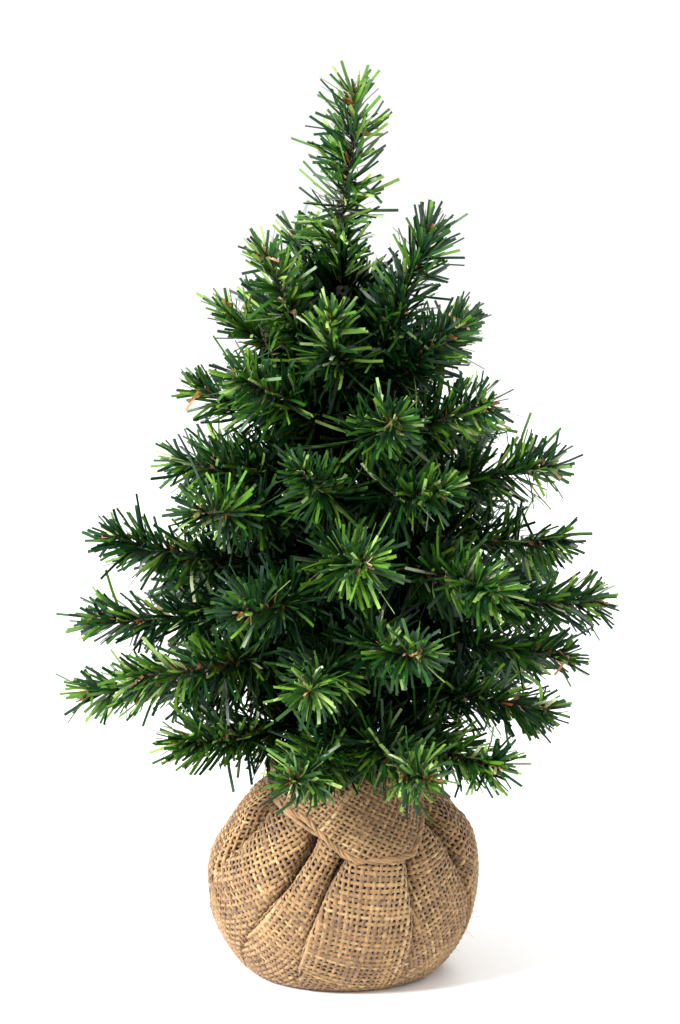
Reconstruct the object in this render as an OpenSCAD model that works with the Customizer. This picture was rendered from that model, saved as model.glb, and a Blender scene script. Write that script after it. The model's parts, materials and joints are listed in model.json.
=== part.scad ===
// Tabletop artificial tree: needle branches bound to a rod that stands in a weighted burlap sack.
// Origin at the centre of the sack's flat base, +Z up, front towards -Y.

/* [Sack] */
// Widest radius of the burlap sack
sack_r = 67; // [60:1:72]
// Height of the sack up to its gathered neck
sack_h = 104; // [96:1:108]
// Radius of the flat foot that the tree stands on
foot_r = 48; // [40:1:54]
// Radius of the sack's mouth
mouth_r = 38; // [32:1:42]
// Thickness of the burlap
cloth_t = 1.2; // [0.8:0.1:1.6]
// How far the folded-over corner of the burlap hangs down at the front
flap_drop = 34; // [20:1:40]

/* [Weight] */
// Radius of the cement weight
weight_r = 42; // [34:1:45]
// Height of the cement weight
weight_h = 52; // [30:1:58]

/* [Trunk] */
// Radius of the steel trunk rod
rod_r = 2.5; // [2:0.1:3]
// Outer radius of the tape wound round the rod
tape_r = 4; // [3.5:0.1:4.5]
// Height of the top of the rod
rod_top = 331; // [326:1:334]
// Outer radius of the bindings that hold the branches
binding_r = 10.2; // [9.8:0.1:10.4]
// Height of one binding
binding_h = 4.6; // [4:0.1:5]

/* [Branches] */
// Radius of the twisted branch wire
wire_r = 1; // [0.8:0.05:1.05]
// Height of the lowest branch's root
first_root = 128; // [126:1:130]
// Height from one branch's root to the next
root_pitch = 7.6; // [7.2:0.1:7.6]
// Widest radius of the needles round a branch's outer half
needle_r = 8; // [6:0.5:9]
// How far the needles reach past the end of the wire
needle_past = 9; // [6:0.5:10]

/* [Leader] */
// Height of the knuckle that the leader bends at
knuckle_z = 338; // [336:1:340]
// Height of the end of the leader's wire
leader_top = 441; // [430:1:441]
// How far the leader's end leans to the right
leader_lean = 11; // [0:1:12]
// Radius of the needles round the leader
leader_r = 16; // [12:0.5:18]

/* [Hidden] */
$fn = 48;
// Each row is one branch from the lowest root up: the bearing of its bend at the trunk,
// then each of its tips as [azimuth, reach from the trunk's axis, height of the tip].
// Azimuths are in degrees from the right-hand side, anticlockwise seen from above.
BRANCHES = [
    [-122, [[-141, 112, 129], [-104, 115, 118]]],
    [-56, [[-67, 115, 118], [-45, 116, 120]]],
    [82, [[52, 114, 126], [112, 114, 124]]],
    [-1, [[-29, 122, 142], [28, 122, 142]]],
    [158, [[130, 124, 144], [188, 136, 143]]],
    [-123, [[-149, 128, 160], [-98, 125, 165]]],
    [-46, [[-71, 128, 182], [-19, 126, 164]]],
    [84, [[57, 122, 166], [108, 120, 164]]],
    [14, [[-7, 135, 188], [35, 126, 188]]],
    [166, [[141, 124, 182], [191, 134, 180]]],
    [-140, [[-115, 124, 200], [-168, 125, 222]]],
    [-67, [[-50, 122, 206], [-84, 118, 224]]],
    [99, [[74, 112, 206], [124, 114, 212]]],
    [17, [[-12, 120, 221], [46, 114, 224]]],
    [-119, [[-134, 110, 242], [-104, 96, 264]]],
    [-35, [[-58, 102, 254], [-12, 115, 256]]],
    [172, [[145, 98, 250], [200, 96, 260]]],
    [63, [[38, 96, 258], [89, 96, 254]]],
    [-47, [[-71, 86, 286], [-24, 88, 288]]],
    [-152, [[-165, 84, 294], [-137, 80, 304]]],
    [85, [[54, 78, 298], [117, 80, 294]]],
    [-1, [[-26, 74, 326], [24, 74, 320], [-36, 60, 372]]],
    [-128, [[-163, 70, 332], [-96, 66, 334], [-142, 58, 362]]],
    [110, [[78, 64, 338], [142, 68, 330], [120, 54, 362]]],
];
COUNT = len(BRANCHES);
WIRES = [for (i = [1:COUNT]) str("branch_", two_digits(i), "_wire")];
NEEDLES = [for (i = [1:COUNT]) str("branch_", two_digits(i), "_needles")];
OTHERS = [
    "burlap_sack", "burlap_flap", "neck_tie", "stuffing", "cement_weight",
    "trunk_rod", "trunk_tape", "branch_bindings", "leader_knuckle",
    "leader_wire", "leader_needles",
];

bight_x = 8; // distance from the trunk's axis to the straight stretch that each branch turns on
bight_half = 9; // half the length of that stretch
bore_r = wire_r + 0.06; // running clearance round it
elbow_r = wire_r + 0.3; // each bend is a small lump of twisted wire

function two_digits(n) = n < 10 ? str("0", n) : str(n);
function root_z(i) = first_root + root_pitch * i;
function polar(az, r, z) = [r * cos(az), r * sin(az), z];
function side_of(bearing, az) = az > bearing ? 1 : -1;
// The bend that an arm starts from, on the side of the trunk that its tip is on
function elbow(bearing, side, z) =
    [bight_x * cos(bearing) - side * bight_half * sin(bearing),
     bight_x * sin(bearing) + side * bight_half * cos(bearing), z];
function azimuth(v) = atan2(v.y, v.x);
function lift(v) = atan2(v.z, norm([v.x, v.y]));

// Puts children drawn along +X on the line from one point to another.
module along(from, to) {
    v = to - from;
    translate(from) rotate([0, -lift(v), azimuth(v)]) children();
}

// A straight wire drawn as an eight-sided bar, as a twisted pair is not round
module wire_bar(from, to) {
    along(from, to) rotate([0, 90, 0]) cylinder(r = wire_r, h = norm(to - from), $fn = 8);
}

// The straight stretch that a wire turns on, along Y, with the lump of each bend at its ends
module bight(half) {
    rotate([90, 0, 0]) cylinder(r = wire_r, h = 2 * half, center = true);
    for (side = [-1, 1]) translate([0, side * half, 0]) rotate([90, 0, 0])
        cylinder(r = elbow_r, h = 2 * elbow_r, center = true);
}

// The outer shape of the needles round one arm: slim at the trunk, full to the tip
module needle_spindle(chord, r) {
    start = min(26, chord * 0.34);
    rotate([0, 90, 0]) rotate_extrude() polygon([
        [0, start], [4.5, start], [r, max(start + 16, chord * 0.62)],
        [r, chord - 4], [r * 0.55, chord + needle_past], [0, chord + needle_past],
    ]);
}

function wire_end(tip) = polar(tip[0], tip[1] - needle_past, tip[2]);

module branch_wire(i) {
    bearing = BRANCHES[i][0];
    z = root_z(i);
    color("dimgray") {
        translate([0, 0, z]) rotate([0, 0, bearing]) translate([bight_x, 0, 0]) bight(bight_half);
        for (tip = BRANCHES[i][1]) wire_bar(elbow(bearing, side_of(bearing, tip[0]), z), wire_end(tip));
    }
}

module branch_needles(i) {
    bearing = BRANCHES[i][0];
    for (tip = BRANCHES[i][1]) {
        from = elbow(bearing, side_of(bearing, tip[0]), root_z(i));
        chord = norm(wire_end(tip) - from);
        r = min(needle_r, chord * 0.13);
        color("forestgreen") along(from, wire_end(tip)) needle_spindle(chord, r);
    }
}

// Half outline of the sack, from the foot's edge up to the groove that the tie draws in and the mouth
function sack_outline(inset) = [
    [foot_r - inset, inset], [foot_r + 8 - inset, 3 + inset], [sack_r - 5 - inset, 14],
    [sack_r - inset, 34], [sack_r - inset, 54], [sack_r - 6 - inset, 76],
    [mouth_r + 9 - inset, sack_h - 14], [groove_r - inset, sack_h - 9], [groove_r - inset, sack_h - 5],
    [mouth_r - inset, sack_h],
];
groove_r = mouth_r - 3;
tie_r = 1.6; // half the thickness of the cord

module burlap_sack() {
    color("tan") rotate_extrude() difference() {
        polygon(concat([[0, 0]], sack_outline(0), [[0, sack_h]]));
        polygon(concat([[0, cloth_t]], sack_outline(cloth_t), [[0, sack_h + 1]]));
    }
}

// The corner of the cloth that folds out over the mouth and hangs down at the front
module burlap_flap() {
    gap = 0.3;
    color("burlywood") rotate([0, 0, -118]) rotate_extrude(angle = 76) difference() {
        polygon([
            [mouth_r - cloth_t, sack_h], [mouth_r, sack_h], [mouth_r + 3, sack_h - 3],
            [mouth_r + 11 + gap, sack_h - 14], [sack_r - 6 + gap, 76],
            [sack_r - 3, sack_h - flap_drop], [sack_r - 1, sack_h - flap_drop],
            [sack_r - 3.5, 78], [mouth_r + 14, sack_h - 12], [mouth_r + 4, sack_h + 1.5],
            [mouth_r - cloth_t, sack_h + 2.5],
        ]);
        polygon(concat([[0, 0]], sack_outline(-gap), [[0, sack_h]]));
    }
}

module neck_tie() {
    color("peru") translate([0, 0, sack_h - 7]) rotate_extrude() translate([groove_r + tie_r + 0.2, 0]) circle(tie_r);
}

// Fibre filling that rounds the sack out between the weight and the cloth
module stuffing() {
    color("wheat") difference() {
        rotate_extrude() polygon(concat([[0, cloth_t]], [
            [foot_r - 2, cloth_t + 1], [foot_r + 5, 6], [sack_r - 8, 16], [sack_r - 3, 35],
            [sack_r - 3, 53], [sack_r - 9, 74], [mouth_r + 5, 88], [groove_r - 3, 94], [groove_r - 3, 98], [0, 98],
        ]));
        translate([0, 0, cloth_t - 1]) cylinder(r = weight_r, h = weight_h + 1);
        cylinder(r = rod_r, h = 120);
    }
}

module cement_weight() {
    color("gray") difference() {
        translate([0, 0, cloth_t]) cylinder(r = weight_r, h = weight_h - 0.5);
        translate([0, 0, 8]) cylinder(r = rod_r, h = weight_h);
    }
}

module trunk_rod() {
    color("darkgray") translate([0, 0, 8]) cylinder(r = rod_r, h = rod_top - 8);
}

module trunk_tape() {
    color("darkolivegreen") difference() {
        translate([0, 0, 106]) cylinder(r = tape_r, h = rod_top - 106);
        cylinder(r = rod_r, h = 400);
    }
}

// One wound binding for each branch, with the bore that the branch's wire turns in
module branch_bindings() {
    color("saddlebrown") for (i = [0:COUNT - 1]) translate([0, 0, root_z(i)]) rotate([0, 0, BRANCHES[i][0]])
        difference() {
            cylinder(r = binding_r, h = binding_h, center = true);
            cylinder(r = tape_r, h = binding_h + 1, center = true);
            translate([bight_x, 0, 0]) rotate([90, 0, 0]) cylinder(r = bore_r, h = 40, center = true);
        }
}

knuckle_half = 4; // half the width of the leader's knuckle
module leader_knuckle() {
    color("dimgray") difference() {
        translate([0, 0, rod_top]) cylinder(r = knuckle_half, h = knuckle_z - rod_top + 2.4);
        translate([0, 0, knuckle_z]) rotate([90, 0, 0]) cylinder(r = bore_r, h = 20, center = true);
    }
}

leader_y = knuckle_half + 2; // distance of the leader's two legs from the trunk's axis
leader_fork = [0, 0, knuckle_z + 16]; // where the two legs twist together
leader_end = [leader_lean, 0, leader_top];
module leader_wire() {
    color("dimgray") {
        translate([0, 0, knuckle_z]) bight(leader_y);
        for (side = [-1, 1]) wire_bar([0, side * leader_y, knuckle_z], leader_fork);
        translate(leader_fork) cylinder(r = 2, h = 4, center = true);
        wire_bar(leader_fork, leader_end);
    }
}

module leader_needles() {
    chord = norm(leader_end - leader_fork);
    color("green") along(leader_fork, leader_end) rotate([0, 90, 0]) rotate_extrude() polygon([
        [0, 4], [leader_r * 0.5, 4], [leader_r, 20], [leader_r * 0.9, chord * 0.6],
        [leader_r, chord - 6], [leader_r * 0.5, chord + needle_past], [0, chord + needle_past],
    ]);
}

burlap_sack();
burlap_flap();
neck_tie();
stuffing();
cement_weight();
trunk_rod();
trunk_tape();
branch_bindings();
leader_knuckle();
leader_wire();
leader_needles();
for (i = [0:COUNT - 1]) {
    branch_wire(i);
    branch_needles(i);
}
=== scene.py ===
"""Looks of the artificial tabletop tree: flat needles in twisted wires, and a sack woven yarn by yarn."""

import json
import math

import bpy
import numpy as np
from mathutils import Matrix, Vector

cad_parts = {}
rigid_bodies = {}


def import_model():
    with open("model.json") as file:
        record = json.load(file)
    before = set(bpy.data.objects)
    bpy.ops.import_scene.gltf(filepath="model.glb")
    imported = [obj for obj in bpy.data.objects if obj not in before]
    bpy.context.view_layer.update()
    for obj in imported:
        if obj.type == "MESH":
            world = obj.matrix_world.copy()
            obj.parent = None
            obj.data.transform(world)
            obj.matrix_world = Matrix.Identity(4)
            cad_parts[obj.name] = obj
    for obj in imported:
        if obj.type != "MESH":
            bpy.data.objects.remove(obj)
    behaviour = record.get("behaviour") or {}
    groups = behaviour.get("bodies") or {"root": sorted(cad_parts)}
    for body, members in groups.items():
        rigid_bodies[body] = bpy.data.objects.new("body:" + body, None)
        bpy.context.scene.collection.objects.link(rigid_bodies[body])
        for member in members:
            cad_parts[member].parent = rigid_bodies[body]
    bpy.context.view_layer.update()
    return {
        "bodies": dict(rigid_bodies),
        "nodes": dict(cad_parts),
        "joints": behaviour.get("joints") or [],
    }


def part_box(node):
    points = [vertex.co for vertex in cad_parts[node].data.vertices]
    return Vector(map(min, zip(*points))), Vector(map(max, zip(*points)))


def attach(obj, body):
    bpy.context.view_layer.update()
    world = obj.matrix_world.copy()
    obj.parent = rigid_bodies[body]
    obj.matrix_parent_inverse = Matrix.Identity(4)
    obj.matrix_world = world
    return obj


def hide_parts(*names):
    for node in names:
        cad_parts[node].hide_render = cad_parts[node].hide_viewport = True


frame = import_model()

MM = 0.001
UP = np.array([0.0, 0.0, 1.0])
JOINTS = {j["child"]: j for j in frame["joints"]}
BRANCHES = sorted(b for b in frame["bodies"] if b.startswith("branch_"))

# the real tree's small dimensions
BIGHT_HALF = 9 * MM  # half the straight stretch of wire that a branch turns on
NEEDLE_PAST = 9 * MM  # how far the CAD spindles run past the end of the wire
NEEDLE_WIDTH = (1.15 * MM, 1.75 * MM)
NEEDLE_THICK = 0.16 * MM
NEEDLE_LENGTH = (15.5 * MM, 21.5 * MM)
STRIP_WIDTHS = (0.55, 1.0, 1.0, 0.96)  # a strip's width from its root to its end, as a share
YARN_PITCH = 2.8 * MM
YARN_WIDTH = 1.75 * MM
YARN_THICK = 0.75 * MM
BELLY_YARN = 1.20  # how much wider the yarns lie on the sack's belly than at its neck


# ---------------------------------------------------------------- camera, light and floor

def aim(obj, target):
    obj.rotation_euler = (Vector(target) - obj.location).to_track_quat("-Z", "Y").to_euler()


def add_camera():
    view_height = 0.4992  # what the picture's full height covers at the trunk
    distance, elevation = 1.9, math.radians(10)
    target = Vector((-0.0015, 0, 0.2292))
    data = bpy.data.cameras.new("camera")
    data.lens = 36 * distance / view_height
    camera = bpy.data.objects.new("camera", data)
    camera.location = target + distance * Vector((0, -math.cos(elevation), math.sin(elevation)))
    bpy.context.scene.collection.objects.link(camera)
    aim(camera, target)
    bpy.context.scene.camera = camera


def add_area_light(name, place, target, size, power):
    data = bpy.data.lights.new(name, "AREA")
    data.shape = "DISK"
    data.size = size
    data.energy = power
    light = bpy.data.objects.new(name, data)
    light.location = place
    bpy.context.scene.collection.objects.link(light)
    aim(light, target)


def add_lights():
    middle = (0, 0, 0.22)
    add_area_light("key_light", (-1.35, -1.0, 1.25), middle, 0.5, 66)
    add_area_light("fill_light", (1.5, -1.0, 0.7), middle, 1.4, 1.5)
    add_area_light("back_light", (0.5, 1.4, 1.3), middle, 1.0, 14)
    world = bpy.data.worlds.new("studio")
    world.use_nodes = True
    background = world.node_tree.nodes["Background"]
    background.inputs["Color"].default_value = (1, 1, 1, 1)
    background.inputs["Strength"].default_value = 1.05
    bpy.context.scene.world = world
    bpy.context.scene.view_settings.view_transform = "Standard"


def add_floor():
    half = 30.0
    floor = mesh_object("floor", [(-half, -half, 0), (half, -half, 0), (half, half, 0), (-half, half, 0)],
                        [(0, 1, 2, 3)], floor_material(), smooth=False)


# ---------------------------------------------------------------- materials

def new_material(name, roughness, **sockets):
    """A material, its node tree and its Principled shader with plain values set on its sockets."""
    material = bpy.data.materials.new(name)
    material.use_nodes = True
    shader = material.node_tree.nodes["Principled BSDF"]
    shader.inputs["Roughness"].default_value = roughness
    for socket, value in sockets.items():
        shader.inputs[socket.replace("_", " ")].default_value = value
    return material, material.node_tree, shader


def add_node(tree, kind, **settings):
    node = tree.nodes.new(kind)
    for key, value in settings.items():
        setattr(node, key, value)
    return node


def ramp(tree, factor, stops):
    """Colours by a factor, from (place, colour) stops."""
    node = add_node(tree, "ShaderNodeValToRGB")
    elements = node.color_ramp.elements
    while len(elements) < len(stops):
        elements.new(0.5)
    for element, (place, colour) in zip(elements, stops):
        element.position = place
        element.color = (*colour, 1)
    tree.links.new(factor, node.inputs["Fac"])
    return node.outputs["Color"]


def noise(tree, scale, detail=4.0, roughness=0.6, stretch=None):
    coordinates = add_node(tree, "ShaderNodeTexCoord")
    source = coordinates.outputs["Object"]
    if stretch:
        mapping = add_node(tree, "ShaderNodeMapping")
        mapping.inputs["Scale"].default_value = stretch
        tree.links.new(source, mapping.inputs["Vector"])
        source = mapping.outputs["Vector"]
    node = add_node(tree, "ShaderNodeTexNoise")
    node.inputs["Scale"].default_value = scale
    node.inputs["Detail"].default_value = detail
    node.inputs["Roughness"].default_value = roughness
    tree.links.new(source, node.inputs["Vector"])
    return node.outputs["Fac"]


def mixed(tree, factor, first, second, blend="MIX"):
    """Two colours mixed, by a socket or a plain number."""
    node = add_node(tree, "ShaderNodeMix", data_type="RGBA", blend_type=blend)
    if hasattr(factor, "node"):
        tree.links.new(factor, node.inputs["Factor"])
    else:
        node.inputs["Factor"].default_value = factor
    for socket, value in (("A", first), ("B", second)):
        target = next(i for i in node.inputs if i.name == socket and i.type == "RGBA")
        if hasattr(value, "node"):
            tree.links.new(value, target)
        else:
            target.default_value = (*value, 1)
    return next(o for o in node.outputs if o.type == "RGBA")


def bump(tree, shader, height, strength, distance):
    node = add_node(tree, "ShaderNodeBump")
    node.inputs["Strength"].default_value = strength
    node.inputs["Distance"].default_value = distance
    tree.links.new(height, node.inputs["Height"])
    tree.links.new(node.outputs["Normal"], shader.inputs["Normal"])


def looks(tree):
    """The mesh's own numbers, each 0 to 1: tone, place along the strip, kind, and depth inside the tree.
    The place along the strip and the depth set the needles' painted shade.
    """
    attribute = add_node(tree, "ShaderNodeAttribute", attribute_name="look")
    split = add_node(tree, "ShaderNodeSeparateColor")
    tree.links.new(attribute.outputs["Color"], split.inputs["Color"])
    return [split.outputs[c] for c in ("Red", "Green", "Blue")] + [attribute.outputs["Alpha"]]


def needle_material():
    material, tree, shader = new_material("needle_pvc", 0.38)
    tone, along, kind, depth = looks(tree)
    # the palest stop is the crumpled ends' own pale colour and, on a few needles, a painted glare highlight
    green = ramp(tree, tone, [
        (0.0, (0.002, 0.024, 0.008)), (0.30, (0.005, 0.050, 0.010)), (0.55, (0.021, 0.104, 0.007)),
        (0.78, (0.105, 0.270, 0.014)), (0.92, (0.250, 0.460, 0.045)), (1.0, (0.640, 0.720, 0.420)),
    ])
    brown = ramp(tree, tone, [
        (0.0, (0.12, 0.03, 0.01)), (0.55, (0.46, 0.15, 0.03)), (1.0, (0.62, 0.50, 0.28)),
    ])
    # painted shade: each green strip is darkened towards its root at the wire, where the needles crowd
    shade = ramp(tree, along, [(0.0, (0.07, 0.07, 0.07)), (0.55, (1.0, 1.0, 1.0))])
    # painted shade: needles deep inside the tree, towards the trunk, are darkened to near black-green
    inner = ramp(tree, depth, [(0.0, (1.0, 1.0, 1.0)), (1.0, (0.085, 0.115, 0.075))])
    streaks = ramp(tree, noise(tree, 420, 3), [(0.3, (0.72, 0.72, 0.72)), (0.7, (1.0, 1.0, 1.0))])
    colour = mixed(tree, kind, mixed(tree, 1.0, green, shade, "MULTIPLY"), brown)
    colour = mixed(tree, 1.0, colour, inner, "MULTIPLY")
    colour = mixed(tree, 1.0, colour, streaks, "MULTIPLY")
    tree.links.new(colour, shader.inputs["Base Color"])
    # painted shade on the reflections too: the needles' specular fades deep inside the tree
    gloss = add_node(tree, "ShaderNodeMapRange")
    gloss.inputs["To Min"].default_value = 0.45
    gloss.inputs["To Max"].default_value = 0.04
    tree.links.new(depth, gloss.inputs["Value"])
    tree.links.new(gloss.outputs["Result"], shader.inputs["Specular IOR Level"])
    bump(tree, shader, noise(tree, 900, 2), 0.25, 0.0002)
    return material


def wire_material():
    material, tree, shader = new_material("twisted_wire", 0.45, Metallic=0.6)
    colour = ramp(tree, noise(tree, 300), [(0.3, (0.035, 0.045, 0.03)), (0.7, (0.12, 0.11, 0.08))])
    tree.links.new(colour, shader.inputs["Base Color"])
    bump(tree, shader, noise(tree, 1500, 3), 0.3, 0.0002)
    return material


def tape_material():
    material, tree, shader = new_material("trunk_tape", 0.7)
    colour = ramp(tree, noise(tree, 160), [(0.3, (0.006, 0.022, 0.008)), (0.7, (0.02, 0.06, 0.02))])
    tree.links.new(colour, shader.inputs["Base Color"])
    bump(tree, shader, noise(tree, 600, 5), 0.5, 0.0004)
    return material


def cord_material(name, dark, light):
    material, tree, shader = new_material(name, 0.92)
    shader.inputs["Sheen Weight"].default_value = 0.25
    colour = ramp(tree, noise(tree, 700, 5), [(0.3, dark), (0.7, light)])
    tree.links.new(colour, shader.inputs["Base Color"])
    bump(tree, shader, noise(tree, 1800, 5), 0.8, 0.0004)
    return material


def burlap_material():
    material, tree, shader = new_material("burlap_yarn", 0.9)
    shader.inputs["Sheen Weight"].default_value = 0.3
    shader.inputs["Sheen Roughness"].default_value = 0.6
    tone = looks(tree)[0]
    yarn = ramp(tree, tone, [
        (0.0, (0.115, 0.050, 0.013)), (0.40, (0.315, 0.158, 0.047)), (0.75, (0.580, 0.335, 0.113)),
        (1.0, (0.900, 0.630, 0.290)),
    ])
    fibres = ramp(tree, noise(tree, 1600, 6, 0.75), [(0.28, (0.36, 0.30, 0.25)), (0.60, (1.0, 1.0, 1.0))])
    stains = ramp(tree, noise(tree, 38, 4), [(0.3, (0.80, 0.75, 0.68)), (0.6, (1.0, 1.0, 1.0))])
    colour = mixed(tree, 1.0, yarn, fibres, "MULTIPLY")
    colour = mixed(tree, 1.0, colour, stains, "MULTIPLY")
    tree.links.new(colour, shader.inputs["Base Color"])
    bump(tree, shader, noise(tree, 2200, 6, 0.8), 0.9, 0.0005)
    return material


def filling_material():
    material, tree, shader = new_material("fibre_filling", 0.95)
    # painted shade: the filling, seen through the weave's holes, is painted far darker than its own brown
    # fibre
    shaded_fibre = ramp(tree, noise(tree, 90, 6, 0.7), [(0.3, (0.045, 0.021, 0.007)), (0.7, (0.16, 0.082, 0.029))])
    # painted shade, darker towards the top, where the cloth stands loose over the filling
    place = add_node(tree, "ShaderNodeTexCoord")
    split = add_node(tree, "ShaderNodeSeparateXYZ")
    tree.links.new(place.outputs["Object"], split.inputs["Vector"])
    height = add_node(tree, "ShaderNodeMapRange")
    height.inputs["From Min"].default_value = 0.042
    height.inputs["From Max"].default_value = 0.072
    tree.links.new(split.outputs["Z"], height.inputs["Value"])
    colour = mixed(tree, height.outputs["Result"], shaded_fibre, (0.034, 0.016, 0.005))
    tree.links.new(colour, shader.inputs["Base Color"])
    bump(tree, shader, noise(tree, 1200, 6, 0.8), 1.0, 0.0008)
    return material


def cement_material():
    material, tree, shader = new_material("cement", 0.9)
    colour = ramp(tree, noise(tree, 220, 8, 0.7), [(0.3, (0.22, 0.21, 0.20)), (0.7, (0.44, 0.43, 0.41))])
    tree.links.new(colour, shader.inputs["Base Color"])
    bump(tree, shader, noise(tree, 500, 8, 0.7), 0.7, 0.0006)
    return material


def steel_material():
    material, tree, shader = new_material("trunk_steel", 0.4, Metallic=1.0)
    drawn = noise(tree, 90, 4, 0.6, (1, 1, 0.1))
    colour = ramp(tree, drawn, [(0.3, (0.28, 0.28, 0.29)), (0.7, (0.5, 0.5, 0.5))])
    tree.links.new(colour, shader.inputs["Base Color"])
    return material


def floor_material():
    material, tree, shader = new_material("studio_floor", 0.9)
    colour = ramp(tree, noise(tree, 3, 2), [(0.0, (0.965, 0.965, 0.965)), (1.0, (0.98, 0.98, 0.98))])
    tree.links.new(colour, shader.inputs["Base Color"])
    return material


# ---------------------------------------------------------------- mesh making

def mesh_object(name, verts, faces, material, look=None, smooth=True):
    """A mesh from arrays, with each vertex's look (tone, along, kind, depth) if it has one."""
    mesh = bpy.data.meshes.new(name)
    verts = np.asarray(verts, float).reshape(-1, 3).tolist()
    faces = faces.tolist() if isinstance(faces, np.ndarray) else faces
    mesh.from_pydata(verts, [], faces)
    if look is not None:
        layer = mesh.color_attributes.new("look", "FLOAT_COLOR", "POINT")
        layer.data.foreach_set("color", np.asarray(look, np.float32).ravel())
    mesh.polygons.foreach_set("use_smooth", np.full(len(mesh.polygons), smooth))
    mesh.materials.append(material)
    mesh.update()
    obj = bpy.data.objects.new(name, mesh)
    bpy.context.scene.collection.objects.link(obj)
    return obj


def show(obj, body, slot, *nodes):
    """Rides obj on a body and lets it stand for CAD nodes, which it hides. slot is not used."""
    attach(obj, body)
    if nodes:
        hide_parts(*nodes)
    return obj


class Parts:
    """Gathers pieces of mesh, each with its looks, into one."""

    def __init__(self):
        self.verts, self.faces, self.look, self.count = [], [], [], 0

    def add(self, verts, faces, look=None):
        verts = np.asarray(verts, float).reshape(-1, 3)
        self.verts.append(verts)
        self.faces.append(np.asarray(faces) + self.count)
        self.look.append(np.zeros((len(verts), 4)) if look is None else look)
        self.count += len(verts)

    def build(self, name, material, smooth=True):
        return mesh_object(name, np.vstack(self.verts), np.vstack(self.faces), material,
                           np.vstack(self.look), smooth)


def unit(v):
    v = np.asarray(v, float)
    return v / np.maximum(np.linalg.norm(v, axis=-1, keepdims=True), 1e-12)


def path_frames(points):
    """Tangents and two steady cross directions along a path."""
    tangent = unit(np.gradient(points, axis=0))
    across = np.cross(tangent[0], UP if abs(tangent[0][2]) < 0.9 else np.array([1.0, 0, 0]))
    first = np.empty_like(points)
    for k, t in enumerate(tangent):
        across = unit(across - t * np.dot(across, t))
        first[k] = across
    return tangent, first, np.cross(tangent, first)


def tube(points, radius, sides):
    """A closed round tube of quads along points. radius is one number or one for each point."""
    _, first, second = path_frames(points)
    angle = np.arange(sides) * 2 * math.pi / sides
    radius = np.broadcast_to(np.asarray(radius, float), (len(points),))[:, None, None]
    ring = first[:, None] * np.cos(angle)[None, :, None] + second[:, None] * np.sin(angle)[None, :, None]
    verts = (points[:, None] + radius * ring).reshape(-1, 3)
    return verts, tube_faces(len(points), sides)


def ring_quads(rings, sides):
    """The quads between rings of points, each ring sides long."""
    row, col = np.meshgrid(np.arange(rings - 1), np.arange(sides), indexing="ij")
    here, there, nxt = row * sides, (row + 1) * sides, (col + 1) % sides
    return np.stack([here + col, here + nxt, there + nxt, there + col], -1).reshape(-1, 4)


def tube_faces(rings, sides):
    """The quads of a tube's wall and of its two ends. sides is even."""
    ends = []
    for start, way in ((0, -1), ((rings - 1) * sides, 1)):
        for k in range(1, sides - 1, 2):
            ends.append([start, start + k, start + k + 1, start + k + 2][::way])
    return np.vstack([ring_quads(rings, sides), ends])


def twisted_pair(points, radius, strand, pitch):
    """Two round strands wound round each other along points."""
    tangent, first, second = path_frames(points)
    run = np.concatenate([[0], np.cumsum(np.linalg.norm(np.diff(points, axis=0), axis=1))])
    turn = run / pitch * 2 * math.pi
    out = []
    for start in (0, math.pi):
        offset = first * np.cos(turn + start)[:, None] + second * np.sin(turn + start)[:, None]
        out.append(tube(points + radius * offset, strand, 6))
    return out


def strips(base, heading, across, length, width, bend, thick=NEEDLE_THICK):
    """Thin closed flat strips with square-cut ends: one row of each array is one strip.
    Returns the points, the faces, and how far along its strip each ring of points lies."""
    count, rings = len(base), len(STRIP_WIDTHS)
    share = np.linspace(0, 1, rings)
    centre = (base[:, None] + heading[:, None] * (length[:, None] * share)[..., None]
              + bend[:, None] * (length[:, None] * share**2)[..., None])
    along = unit(np.gradient(centre, axis=1))
    across = unit(across[:, None] - along * np.sum(across[:, None] * along, -1, keepdims=True))
    normal = np.cross(along, across)
    half = across * (width / 2)[:, None, None] * np.array(STRIP_WIDTHS)[:, None]
    deep = normal * thick / 2
    ring = [centre + half + deep, centre - half + deep, centre - half - deep, centre + half - deep]
    verts = np.stack(ring, 2)
    faces = tube_faces(rings, 4) + (np.arange(count) * rings * 4)[:, None, None]
    return verts.reshape(-1, 3), faces.reshape(-1, 4), share


def strip_looks(tone, kind, share, depth=None):
    """The look of each vertex of the strips made above."""
    count, rings = len(tone), len(share)
    look = np.zeros((count, rings, 4, 4))
    look[..., 0] = tone[:, None, None]
    look[..., 1] = share[None, :, None]
    look[..., 2] = kind[:, None, None]
    if depth is not None:
        look[..., 3] = depth[:, None, None]
    return look.reshape(-1, 4)


# ---------------------------------------------------------------- the branches' paths, from the frame

def islands(obj):
    """The separate solids of a CAD node, each as its distinct corner points."""
    mesh = obj.data
    points = np.array([v.co for v in mesh.vertices])
    keys, index = np.unique(np.round(points, 6), axis=0, return_inverse=True)
    index = index.ravel()
    group = np.arange(len(keys))

    def root(k):
        while group[k] != k:
            group[k] = group[group[k]]
            k = group[k]
        return k

    for polygon in mesh.polygons:
        ids = [root(index[v]) for v in polygon.vertices]
        for other in ids[1:]:
            group[root(other)] = root(ids[0])
    roots = np.array([root(k) for k in range(len(keys))])
    return [keys[roots == r] for r in np.unique(roots)]


def spindle_ends(points, near):
    """Centres of a spindle's two end discs, the one nearer to a point first."""
    middle = points.mean(axis=0)
    axis = np.linalg.svd(points - middle)[2][0]
    place = (points - middle) @ axis
    discs = [place < place.min() + 0.5 * MM, place > place.max() - 0.5 * MM]
    return sorted([points[disc].mean(axis=0) for disc in discs], key=lambda e: np.linalg.norm(e - near))


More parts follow.
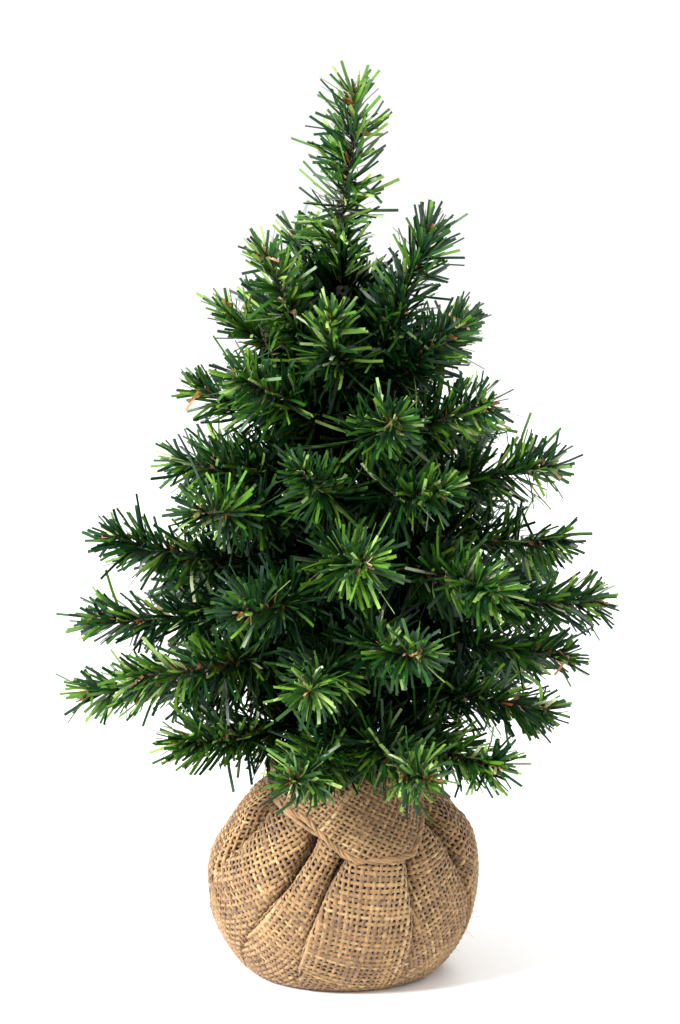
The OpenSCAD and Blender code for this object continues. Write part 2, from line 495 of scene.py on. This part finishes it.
def arm_paths(body, rng):
    """Each of a branch's arms as a path from its bend at the trunk to the end of its wire."""
    joint = JOINTS[body]
    pivot, axis = np.array(joint["pos_m"]), np.array(joint["axis"])
    paths = []
    for points in islands(frame["nodes"][body + "_needles"]):
        inner, outer = spindle_ends(points, pivot)
        elbows = [pivot + s * BIGHT_HALF * axis for s in (-1, 1)]
        elbow = min(elbows, key=lambda e: np.linalg.norm(e - inner))
        tip = outer - unit(outer - inner) * (NEEDLE_PAST + 3.5 * MM)
        chord = tip - elbow
        side = unit(np.cross(chord, UP))
        reach = np.linalg.norm(chord)
        t = np.linspace(0, 1, max(16, int(reach / (0.8 * MM))))[:, None]
        sag = reach * rng.uniform(0.01, 0.03)
        swing, hook = reach * rng.uniform(-0.08, 0.08), reach * rng.uniform(-0.02, 0.06)
        path = elbow + chord * t - UP * 4 * sag * t * (1 - t) + (UP * hook + side * swing) * (t**5 - t)
        paths.append(path)
    return paths


# ---------------------------------------------------------------- wires and needles

def painted_shade_depth(points, tip):
    """How deep points are inside the tree, for the needles' painted shade: 1 at the trunk, 0 from near a
    branch's tip outwards.
    """
    reach = np.hypot(points[:, 0], points[:, 1]) / max(math.hypot(tip[0], tip[1]), 1e-6)
    return np.clip((0.78 - reach) / 0.5, 0, 1)


def brush(parts, path, rng, density, tone, length=NEEDLE_LENGTH, spread=(38, 66), span=(0.06, 1.0),
          browns=0.065, deep=True, gather=0.75):
    """Needles on all sides of a path, leaning towards its end, over the given span of the path.
    gather is how far those at the end lean in, and packing has pushed each stretch its own way."""
    tangent, first, second = path_frames(path)
    run = np.concatenate([[0], np.cumsum(np.linalg.norm(np.diff(path, axis=0), axis=1))])
    low, high = run[-1] * span[0], run[-1] * span[1]
    count = int(density * (high - low) / MM)
    place = low + (high - low) * (np.arange(count) + rng.uniform(0, 1, count)) / count

    def at(values):
        return np.stack([np.interp(place, run, values[:, k]) for k in range(3)], -1)

    base, ahead = at(path), unit(at(tangent))
    one, two = unit(at(first)), unit(at(second))
    angle = rng.uniform(0, 2 * math.pi, count)
    outward = one * np.cos(angle)[:, None] + two * np.sin(angle)[:, None]
    lean = np.radians(rng.uniform(*spread, count))
    closing = np.clip((place - (run[-1] - 14 * MM)) / (14 * MM), 0, 1)
    lean = lean * (1 - closing * rng.uniform(0.0, gather, count))
    heading = unit(ahead * np.cos(lean)[:, None] + outward * np.sin(lean)[:, None])
    knots = np.arange(low, high + 11 * MM, 11 * MM)
    pushes = rng.normal(scale=0.26, size=(len(knots), 3))
    push = np.stack([np.interp(place, knots, pushes[:, k]) for k in range(3)], -1)
    heading = unit(heading + push + rng.normal(scale=0.19, size=(count, 3)))
    cropped = np.where(rng.uniform(0, 1, count) < 0.12, 0.6, 1.0)
    long = rng.uniform(*length, count) * (1 - 0.4 * gather * closing) * cropped
    wide = rng.uniform(*NEEDLE_WIDTH, count)
    brown = rng.uniform(0, 1, count) < browns
    long = np.where(brown, rng.uniform(3.5 * MM, 7.5 * MM, count), long)
    twist = rng.uniform(0, math.pi, count)
    side = unit(np.cross(heading, outward + 0.01 * ahead))
    across = side * np.cos(twist)[:, None] + np.cross(heading, side) * np.sin(twist)[:, None]
    kinked = np.where(rng.uniform(0, 1, count) < 0.22, 0.65, 0.24)
    bend = unit(rng.normal(size=(count, 3))) * (kinked * rng.uniform(0.2, 1.0, count))[:, None]
    bend = bend + ahead * (0.16 * rng.uniform(-0.2, 1.0, count))[:, None]
    shade = np.clip(rng.normal(tone - 0.04, 0.28, count), 0, 0.94)
    # about one needle in a hundred gets the palest, near-white tone, a painted glare highlight
    shade = np.where(rng.uniform(0, 1, count) < 0.009, 1.0, shade)
    shade = np.where(brown, rng.uniform(0, 1.0, count) ** 0.8, shade)
    verts, faces, share = strips(base + outward * 0.5 * MM, heading, across, long, wide, bend)
    # depth inside the tree sets the needles' painted shade; without deep there is none
    depth = painted_shade_depth(base, path[-1]) if deep else np.zeros(count)
    parts.add(verts, faces, strip_looks(shade, brown.astype(float), share, depth))


def tip_tuft(parts, path, rng):
    """The crumpled pale ends of strips that stick out of the wire's end."""
    count = 12
    ahead = unit(path[-1] - path[-4])
    heading = unit(ahead + rng.normal(scale=0.75, size=(count, 3)))
    base = path[-1] - ahead * rng.uniform(0, 2.5 * MM, count)[:, None]
    across = unit(rng.normal(size=(count, 3)))
    long = rng.uniform(2.5 * MM, 5 * MM, count)
    wide = rng.uniform(1.0 * MM, 1.6 * MM, count)
    bend = rng.normal(scale=0.5, size=(count, 3))
    kind = (rng.uniform(0, 1, count) < 0.6).astype(float)
    tone = np.where(kind > 0, rng.uniform(0.5, 1.0, count), rng.uniform(0.6, 1.0, count))
    verts, faces, share = strips(base, heading, across, long, wide, bend)
    parts.add(verts, faces, strip_looks(tone, kind, np.ones_like(share)))


def add_branch(body, number, needles, wire):
    rng = np.random.default_rng(100 + number)
    joint = JOINTS[body]
    pivot, axis = np.array(joint["pos_m"]), np.array(joint["axis"])
    paths = arm_paths(body, rng)
    metal = Parts()
    bight = pivot + np.linspace(-BIGHT_HALF, BIGHT_HALF, 24)[:, None] * axis
    for stretch in [bight, *paths]:
        for verts, faces in twisted_pair(stretch, 0.45 * MM, 0.45 * MM, 3.6 * MM):
            metal.add(verts, faces)
    show(metal.build(body + "_twisted_wire", wire), body, "wire", body + "_wire")
    green = Parts()
    tone = rng.uniform(0.38, 0.62)
    for path in paths:
        fullness = rng.uniform(0.86, 1.06)
        brush(green, path, rng, 4.8 * fullness, tone, length=tuple(x * fullness for x in NEEDLE_LENGTH))
        # the long inner needles take a lower tone, painted shade inside each arm
        brush(green, path, rng, 2.6, tone - 0.1, length=(19 * MM, 28 * MM), spread=(45, 100),
              span=(0.05, 0.58))
        tip_tuft(green, path, rng)
    show(green.build(body + "_flat_needles", needles, smooth=False), body, "needles", body + "_needles")


def leader_path():
    """From the knuckle straight up, then leaning over to the end of the leader's wire."""
    pivot = np.array(JOINTS["leader"]["pos_m"])
    inner, outer = spindle_ends(islands(frame["nodes"]["leader_needles"])[0], pivot)
    tip = outer - unit(outer - inner) * NEEDLE_PAST
    t = np.linspace(0, 1, 120)[:, None]
    rise = (tip[2] - pivot[2]) * t
    lean = np.array([tip[0] - pivot[0], tip[1] - pivot[1], 0]) * 0.45
    wobble = np.array([-0.0022, 0.002, 0]) * np.sin(2 * math.pi * t)
    return pivot + UP * (rise - 8 * MM * t) + lean * t**2.2 + wobble


def add_leader(needles, wire):
    rng = np.random.default_rng(7)
    path = leader_path()
    metal, green = Parts(), Parts()
    for verts, faces in twisted_pair(path, 0.5 * MM, 0.5 * MM, 4 * MM):
        metal.add(verts, faces)
    show(metal.build("leader_twisted_wire", wire), "leader", "wire", "leader_wire")
    brush(green, path, rng, 5.0, 0.58, length=(15 * MM, 23 * MM), spread=(40, 84), span=(0.03, 1.0),
          browns=0.10, deep=False, gather=0.3)
    tip_tuft(green, path, rng)
    show(green.build("leader_flat_needles", needles, smooth=False), "leader", "needles", "leader_needles")


def add_trunk(needles, tape):
    """Tape wound up the rod, and the short needles of the garland that covers it, painted dark as painted
    shade deep in the tree.
    """
    rng = np.random.default_rng(11)
    low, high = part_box("trunk_tape")
    radius = (high[0] - low[0]) / 2
    turns = (high[2] - low[2]) / (5 * MM)
    t = np.linspace(0, 1, int(turns * 14))
    angle = 2 * math.pi * turns * t
    coil = np.stack([(radius - 0.9 * MM) * np.cos(angle), (radius - 0.9 * MM) * np.sin(angle),
                     low[2] + (high[2] - low[2]) * t], -1)
    wound = Parts()
    core = np.linspace([0, 0, low[2]], [0, 0, high[2]], 4)
    verts, faces = tube(core, radius - 0.7 * MM, 16)
    wound.add(verts, faces)
    verts, faces = tube(coil, 1.5 * MM, 6)
    wound.add(verts, faces)
    show(wound.build("trunk_wound_tape", tape), "tree", "trunk_tape", "trunk_tape")
    green = Parts()
    path = np.stack([np.zeros(60), np.zeros(60), np.linspace(low[2] + 6 * MM, high[2] + 8 * MM, 60)], -1)
    # the garland's low tone is painted shade deep in the tree
    brush(green, path, rng, 11, 0.25, length=(20 * MM, 36 * MM), spread=(50, 105), span=(0.0, 1.0))
    show(green.build("trunk_needles", needles, smooth=False), "tree", "needles")


def add_bindings(cord):
    """A few turns of cord round the trunk and each branch's bend."""
    wound = Parts()
    turns = 3
    t = np.linspace(0, 1, turns * 26 + 1)
    for body in BRANCHES:
        pivot, axis = np.array(JOINTS[body]["pos_m"]), np.array(JOINTS[body]["axis"])
        bearing = math.atan2(pivot[1], pivot[0])
        angle = 2 * math.pi * turns * t
        radius = 4.9 * MM + 5.0 * MM * np.clip(np.cos(angle), 0, 1) ** 6
        path = np.stack([radius * np.cos(angle + bearing), radius * np.sin(angle + bearing),
                         pivot[2] + (t - 0.5) * 3.6 * MM], -1)
        verts, faces = tube(path, 0.62 * MM, 6)
        wound.add(verts, faces)
    show(wound.build("branch_cord_windings", cord), "tree", "binding_cord", "branch_bindings")


# ---------------------------------------------------------------- the burlap sack

class Sack:
    """Maps flat cloth, gathered up round the foot, onto the pleated sack. Distances on the cloth are kept:
    the spare width that the narrowing sack leaves goes into folds between smooth panels."""

    LEVELS = np.array([-0.5, -0.2, -0.06, 0.035, 0.13, 0.23, 0.32, 0.5])  # places from foot to mouth
    CREASES = np.radians([  # each crease's azimuth at those places
        (-185, -184, -178, -168, -160, -152, -147, -145), (-165, -160, -140, -127, -115, -110, -108, -106),
        (-120, -115, -108, -102, -97, -91, -86, -84), (-56, -56, -57, -58, -59, -60, -61, -62),
        (-8, -12, -16, -20, -24, -31, -38, -42), (20, 20, 18, 15, 12, 9, 6, 4),
        (52, 52, 51, 50, 49, 48, 47, 46), (82, 83, 84, 85, 86, 86, 87, 87),
        (112, 113, 116, 119, 122, 125, 127, 128), (142, 143, 147, 151, 156, 162, 167, 170),
    ])
    OPEN = np.array([1.6, 1.5, 1.0, 0.4, 3.2, 1.0, 1.6, 0.8, 1.4, 1.0]) * MM  # how far each crease gapes
    STAND = np.array([0.4, -0.6, 1.9, -0.9, 0.6, -0.5, 0.8, -0.3, 0.7, -0.5]) * MM  # each panel's height
    STEEP = math.radians(86)
    OUTLINE = np.array([  # radius and height in mm: foot, belly, shoulder, neck and mouth
        (0, 0), (25, 0), (41, 0.2), (48.5, 3.2), (56, 12), (62.4, 25), (65.4, 40), (64.4, 56), (58.6, 72),
        (50.0, 85), (40, 93.5), (35, 96.5), (36, 100.5), (40, 106),
    ])

    def __init__(self):
        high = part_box("burlap_sack")[1]
        self.radius, self.height = high[0], high[2]
        curve = smooth_curve(self.OUTLINE * (self.radius / 67, self.height / 104), 24)
        self.run = np.concatenate([[0], np.cumsum(np.linalg.norm(np.diff(curve, axis=0), axis=1))])
        self.r, self.z = curve[:, 0], curve[:, 1]
        # what share of its length a bend loses in width, for each slope that it ends at
        self.slope = np.radians(np.arange(0, 91, 1.0))
        tau = (np.arange(40) + 0.5) / 40
        self.lost = (1 - np.cos(self.slope[:, None] * ease(tau)[None])).mean(axis=1)

    def point(self, rho, theta, inset=0.0):
        """Where the cloth at distance rho and direction theta from its middle ends up."""
        big, z = np.interp(rho, self.run, self.r), np.interp(rho, self.run, self.z)
        # the panel between two creases that each point lies on, and the point's distance from its middle
        level = rho / self.run[-1] - 0.5
        creases = np.array([np.interp(level, self.LEVELS, c) for c in self.CREASES])
        turn = (theta[None] - creases) % (2 * math.pi)
        k = np.argmin(turn, axis=0)
        n = np.arange(len(rho))
        start = creases[k, n]
        width = (creases[(k + 1) % len(self.CREASES), n] - start) % (2 * math.pi)
        centre = start + width / 2
        offset = turn[k, n] - width / 2
        sign, q, a = np.sign(offset), np.abs(offset) * rho, width * rho / 2
        # the cloth's half width against the room for it, less the gap that an open crease leaves
        room = width * big / 2
        spare = np.clip(a - room, 0, None)
        high = ease(np.clip((z - 30 * MM) / (45 * MM), 0, 1))
        gape = self.OPEN[(k + (offset > 0)) % len(self.OPEN)] * high
        room = room - (0.15 * MM + gape) * np.clip(spare / (2 * MM), 0, 1)
        spare = np.clip(a - room, 0, None)
        # the spare width goes into a bend beside each crease, and then into a wall that dives in
        turn_len = np.minimum((2.2 + 11.0 * high) * MM, 0.7 * a)
        full = turn_len * np.interp(self.STEEP, self.slope, self.lost)
        need = np.interp(spare / np.maximum(turn_len, 1e-9), self.lost, self.slope)
        tilt = np.where(spare < full, need, self.STEEP)
        wall = np.clip(spare - full, 0, None) / (1 - math.cos(self.STEEP))
        begin = a - turn_len - wall
        tau = np.clip((q - begin) / np.maximum(turn_len, 1e-9), 0, 1)
        beyond = np.clip(q - begin - turn_len, 0, None)
        steps = (np.arange(12) + 0.5) / 12
        bend = tilt[None] * ease(tau[None] * steps[:, None])
        x = np.minimum(q, begin) + turn_len * tau * np.cos(bend).mean(axis=0) + beyond * np.cos(tilt)
        y = turn_len * tau * np.sin(bend).mean(axis=0) + beyond * np.sin(tilt)
        # the panels stand out between the creases, each to its own height
        lift = np.sin(math.pi * np.clip(z / self.height, 0, 1))
        puff = 2.6 * MM * high * lift * (1 - np.clip(x / np.maximum(room, 1e-9), 0, 1) ** 2)
        puff = puff + self.STAND[k] * lift
        waves = 0.7 * MM * lift * (np.sin(3 * theta + 40 * z + 1) + np.sin(5 * theta - 60 * z))
        radial = big + puff + waves - y - inset
        radial = np.maximum(radial, 0.16 * big)
        angle = centre + sign * x / np.maximum(big, 1e-6)
        z = np.maximum(z + inset * (rho < 0.9 * self.radius), YARN_THICK * 1.45)
        shift = 3.0 * MM * np.exp(-(((z - 76 * MM) / (13 * MM)) ** 2)) - 0.8 * MM * lift
        flat = rho < 1e-9
        across = np.where(flat, 0, radial * np.cos(angle) + shift)
        return np.stack([across, np.where(flat, 0, radial * np.sin(angle)), z], -1)


def ease(t):
    return t * t * (3 - 2 * t)


def smooth_curve(points, per_span):
    """A Catmull-Rom curve through points."""
    p = np.vstack([2 * points[0] - points[1], points, 2 * points[-1] - points[-2]])
    t = np.linspace(0, 1, per_span, endpoint=False)[:, None]
    out = [0.5 * (2 * b + (c - a) * t + (2 * a - 5 * b + 4 * c - d) * t**2 + (3 * b - a - 3 * c + d) * t**3)
           for a, b, c, d in zip(p, p[1:], p[2:], p[3:])]
    return np.vstack(out + [points[-1:]])


def weave(parts, surface, inside, extent, pitch, wide, thick, rng):
    """Plain weave over a flat cloth: every yarn goes over one and under the next of those it crosses.
    surface maps flat points to space, and inside says which flat points are cloth. A yarn is a tube with
    four sides, whose width varies along it, and it runs a little astray."""
    lines = np.arange(-int(extent / pitch), int(extent / pitch) + 1)
    step = 0.15 * MM
    for way in (0, 1):
        for j in lines:
            stray = rng.normal(scale=0.10 * MM)
            along = lines * pitch + rng.normal(scale=0.05 * MM, size=len(lines))
            side = j * pitch + stray + 0.22 * MM * np.sin(along / (17 * MM) + j)
            flat = np.stack([along, side] if way == 0 else [side, along], -1)
            keep = inside(flat)
            if keep.sum() < 3:
                continue
            first, last = np.argmax(keep), len(keep) - np.argmax(keep[::-1])
            flat, over = flat[first:last], np.where((lines[first:last] + j + way) % 2, 1.0, -1.0)
            ahead = np.array([1.0, 0.0] if way == 0 else [0.0, 1.0])
            cross = ahead[::-1]
            tangent = unit(surface(flat + step * ahead) - surface(flat - step * ahead))
            width = surface(flat + step * cross) - surface(flat - step * cross)
            normal = unit(np.cross(tangent, width)) * (1 if way == 0 else -1)
            width = np.cross(normal, tangent)
            centre = surface(flat) + normal * (over * thick * 0.42)[:, None]
            slub = 1 + 0.16 * np.sin(along[first:last] / (9 * MM) + rng.uniform(0, 6))
            slub = slub + rng.normal(scale=0.09, size=len(flat))
            rise = ease(np.clip((centre[:, 2] - 38 * MM) / (36 * MM), 0, 1))
            spread = BELLY_YARN + (1 - BELLY_YARN) * rise
            half = rng.uniform(0.80, 1.16) / 2 * (slub * spread)[:, None]
            out, up = width * wide * half, normal * thick * half
            verts = np.stack([centre + out, centre + up, centre - out, centre - up], 1).reshape(-1, 3)
            tone = np.clip(rng.normal(0.60, 0.11) + rng.normal(scale=0.10, size=len(flat)), 0, 1)
            look = np.repeat(np.stack([tone, tone * 0, tone * 0, tone * 0], -1), 4, axis=0)
            parts.add(verts, tube_faces(len(flat), 4), look)


def add_sack(sack, burlap):
    """The burlap cloth, woven yarn by yarn and gathered up into the sack."""
    rng = np.random.default_rng(21)
    grain = math.radians(-70)  # the side of the sack where the yarns run straight up
    reach = sack.run[-1] - 1 * MM
    cloth = Parts()

    def surface(flat):
        return sack.point(np.hypot(flat[:, 0], flat[:, 1]), np.arctan2(flat[:, 1], flat[:, 0]) + grain)

    weave(cloth, surface, lambda flat: np.hypot(flat[:, 0], flat[:, 1]) < reach, reach,
          YARN_PITCH, YARN_WIDTH, YARN_THICK, rng)
    obj = show(cloth.build("burlap_woven_sack", burlap), "tree", "burlap", "burlap_sack")


def add_fuzz(sack, burlap):
    """Loose jute hairs standing off the cloth."""
    rng = np.random.default_rng(31)
    count = 2600
    rho = np.sqrt(rng.uniform((0.33 * sack.run[-1]) ** 2, (0.93 * sack.run[-1]) ** 2, count))
    theta = rng.uniform(0, 2 * math.pi, count)
    base = sack.point(rho, theta)
    out = unit(base * [1, 1, 0])
    heading = unit(rng.normal(size=(count, 3)) + out * 0.5)
    across = unit(np.cross(heading, out))
    long = rng.uniform(1.5 * MM, 5.5 * MM, count)
    wide = rng.uniform(0.06 * MM, 0.14 * MM, count)
    bend = rng.normal(scale=0.5, size=(count, 3)) - out * 0.4
    verts, faces, share = strips(base + out * 0.35 * MM, heading, across, long, wide, bend, thick=0.07 * MM)
    verts[:, 2] = np.maximum(verts[:, 2], 0.1 * MM)
    fuzz = Parts()
    fuzz.add(verts, faces, strip_looks(rng.uniform(0.5, 1.0, count), np.zeros(count), share))
    show(fuzz.build("burlap_loose_hairs", burlap, smooth=False), "tree", "burlap")


def add_filling(sack, fibre):
    """The filling that presses against the inside of the cloth, pleats and all."""
    rings, spokes = 70, 440
    rho = np.linspace(0, sack.run[-1] - 11 * MM, rings)[1:]
    theta = np.arange(spokes) * 2 * math.pi / spokes
    grid = [sack.point(np.full(spokes, r), theta, inset=1.5 * MM) for r in rho]
    verts = np.vstack(grid)
    verts[:, 2] = np.maximum(verts[:, 2], 1.4 * MM)
    faces = ring_quads(rings - 1, spokes)[:, ::-1].tolist()
    bottom, top = len(verts), len(verts) + 1
    verts = np.vstack([verts, [0, 0, 1.4 * MM], [0, 0, grid[-1][:, 2].mean()]])
    last = (rings - 2) * spokes
    ends = [(bottom, k, (k + 1) % spokes) for k in range(spokes)]
    ends += [(top, last + (k + 1) % spokes, last + k) for k in range(spokes)]
    obj = show(mesh_object("fibre_filling", verts, faces + ends, fibre), "tree", "filling", "stuffing")


def add_flap(burlap):
    """The corner of the cloth that folds out over the neck and hangs down at the front."""
    rng = np.random.default_rng(22)
    front = math.radians(-90)
    mean_r = 0.052
    drape = smooth_curve(np.array([
        (0.0360, 0.1035), (0.0390, 0.1070), (0.0435, 0.1050), (0.0490, 0.0970),
        (0.0555, 0.0880), (0.0613, 0.0790), (0.0650, 0.0700), (0.0675, 0.0600),
    ]), 12)
    run = np.concatenate([[0], np.cumsum(np.linalg.norm(np.diff(drape, axis=0), axis=1))])

    def drop(z):
        """How far down the drape a height is, past the fold's top."""
        below = drape[:, 1] <= z
        below[: np.argmax(drape[:, 1])] = False
        return run[np.argmax(below)]

    corners = [(-162, 0.104), (-135, 0.0975), (-108, 0.0890), (-90, 0.0745), (-84, 0.0715), (-72, 0.0708),
               (-60, 0.0728), (-52, 0.0826), (-36, 0.0960), (-28, 0.104)]
    outline = np.array([((math.radians(a) - front) * mean_r, drop(z)) for a, z in corners])
    outline = np.vstack([[outline[0][0], 0.0], outline, [outline[-1][0], 0.0]])
    middle = outline.mean(axis=0)
    turn = math.radians(33)
    spin = np.array([[math.cos(turn), -math.sin(turn)], [math.sin(turn), math.cos(turn)]])

    def laid(flat):
        return flat @ spin.T + middle

    def inside(flat):
        p = laid(flat)
        hit = np.zeros(len(p), bool)
        for (x0, y0), (x1, y1) in zip(outline, np.roll(outline, -1, axis=0)):
            cross = (y0 > p[:, 1]) != (y1 > p[:, 1])
            hit ^= cross & (p[:, 0] < (x1 - x0) * (p[:, 1] - y0) / ((y1 - y0) or 1e-12) + x0)
        return hit

    def surface_of(p):
        r, z = np.interp(p[:, 1], run, drape[:, 0]), np.interp(p[:, 1], run, drape[:, 1])
        angle = front + p[:, 0] / mean_r
        r = r + 1.3 * MM * np.sin(5.5 * angle + 0.6) * np.clip(p[:, 1] / 0.02, 0, 1) + 1.2 * MM
        side = np.clip((np.abs(angle + math.radians(92)) - math.radians(30)) / math.radians(36), 0, 1)
        r = np.maximum(r - 7.5 * MM * ease(side), 38.5 * MM)
        return np.stack([r * np.cos(angle), r * np.sin(angle), z], -1)

    def surface(flat):
        return surface_of(laid(flat))

    cloth = Parts()
    weave(cloth, surface, inside, 0.09, 2.4 * MM, 1.8 * MM, 0.65 * MM, rng)
    obj = show(cloth.build("burlap_woven_flap", burlap), "tree", "burlap", "burlap_flap")
    edge = outline[1:10]
    t = np.linspace(0, len(edge) - 1, 260)
    edge = np.stack([np.interp(t, np.arange(len(edge)), edge[:, c]) for c in (0, 1)], -1)
    line = surface_of(edge)
    hem = Parts()
    for turn in range(3):
        for verts, faces in twisted_pair(line, (0.5 + 0.25 * turn) * MM, 0.62 * MM, (9 + 3 * turn) * MM):
            look = np.tile([rng.uniform(0.45, 0.85), 0, 0, 0], (len(verts), 1))
            hem.add(verts, faces, look)
    show(hem.build("flap_rolled_hem", burlap), "tree", "burlap")


def add_tie(twine):
    """Two-ply twine wound twice round the neck."""
    low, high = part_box("neck_tie")
    radius, z = high[0] - 1.6 * MM, (low[2] + high[2]) / 2
    t = np.linspace(0, 1, 520)
    angle = 2 * math.pi * 2 * t
    path = np.stack([radius * np.cos(angle), radius * np.sin(angle), z + (t - 0.5) * 2.2 * MM], -1)
    ply = Parts()
    for verts, faces in twisted_pair(path, 0.5 * MM, 0.55 * MM, 4.5 * MM):
        ply.add(verts, faces)
    show(ply.build("neck_twine", twine), "tree", "twine", "neck_tie")


# ---------------------------------------------------------------- the whole tree

def dress(node, material):
    """Gives a CAD node that stays in view a finished material."""
    mesh = frame["nodes"][node].data
    mesh.materials.clear()
    mesh.materials.append(material)


add_camera()
add_lights()
add_floor()
needle_pvc, wire_metal, straw = needle_material(), wire_material(), burlap_material()
for index, name in enumerate(BRANCHES):
    add_branch(name, index, needle_pvc, wire_metal)
add_leader(needle_pvc, wire_metal)
add_trunk(needle_pvc, tape_material())
add_bindings(cord_material("binding_cord", (0.05, 0.035, 0.015), (0.14, 0.10, 0.05)))
burlap = Sack()
add_filling(burlap, filling_material())
add_sack(burlap, straw)
add_flap(straw)
add_fuzz(burlap, straw)
add_tie(cord_material("neck_twine", (0.20, 0.12, 0.06), (0.48, 0.34, 0.19)))
dress("cement_weight", cement_material())
dress("trunk_rod", steel_material())
dress("leader_knuckle", wire_metal)
